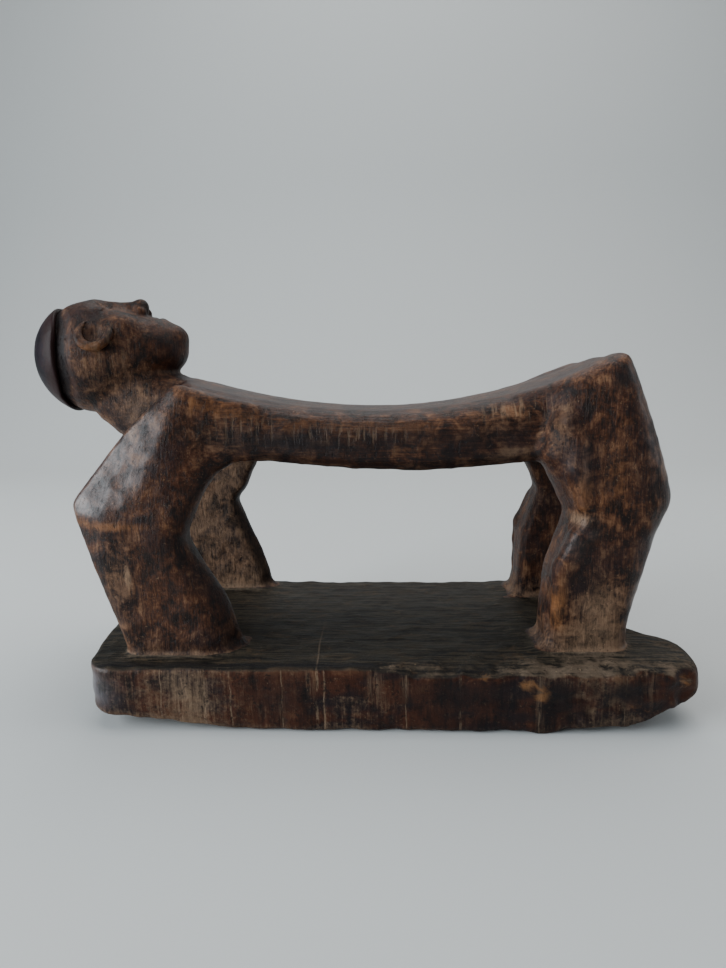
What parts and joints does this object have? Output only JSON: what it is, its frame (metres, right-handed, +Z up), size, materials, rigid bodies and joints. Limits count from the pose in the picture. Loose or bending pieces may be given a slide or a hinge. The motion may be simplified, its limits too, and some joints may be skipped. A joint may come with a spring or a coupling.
{
  "type": "headrest",
  "caption": "Carved wooden headrest: an arched figure lying face up on its arms and legs forms the concave neck rest over a thick slab base.",
  "frame": {"origin": "centre of the slab base's underside", "axes": "+X along the figure from its head to its legs, +Y from the figure's right side to its left side, +Z up towards the neck rest"},
  "size_m": [0.2545, 0.097, 0.1595],
  "materials": {
    "base_wood": "dark handled wood, grey-brown bloom, worn pale edges",
    "figure_wood": "red-brown wood with a dark polished patina, lighter on the ridges",
    "hair_wood": "blackened, polished smooth"
  },
  "bodies": {
    "root": {"base": "base_wood", "right_forearm": "figure_wood", "right_upper_arm": "figure_wood", "left_forearm": "figure_wood", "left_upper_arm": "figure_wood", "right_shin": "figure_wood", "right_thigh": "figure_wood", "left_shin": "figure_wood", "left_thigh": "figure_wood", "torso": "figure_wood", "chest": "figure_wood", "neck": "figure_wood", "head": "figure_wood", "hair_cap": "hair_wood", "right_ear": "figure_wood", "left_ear": "figure_wood"}
  },
  "joints": []
}
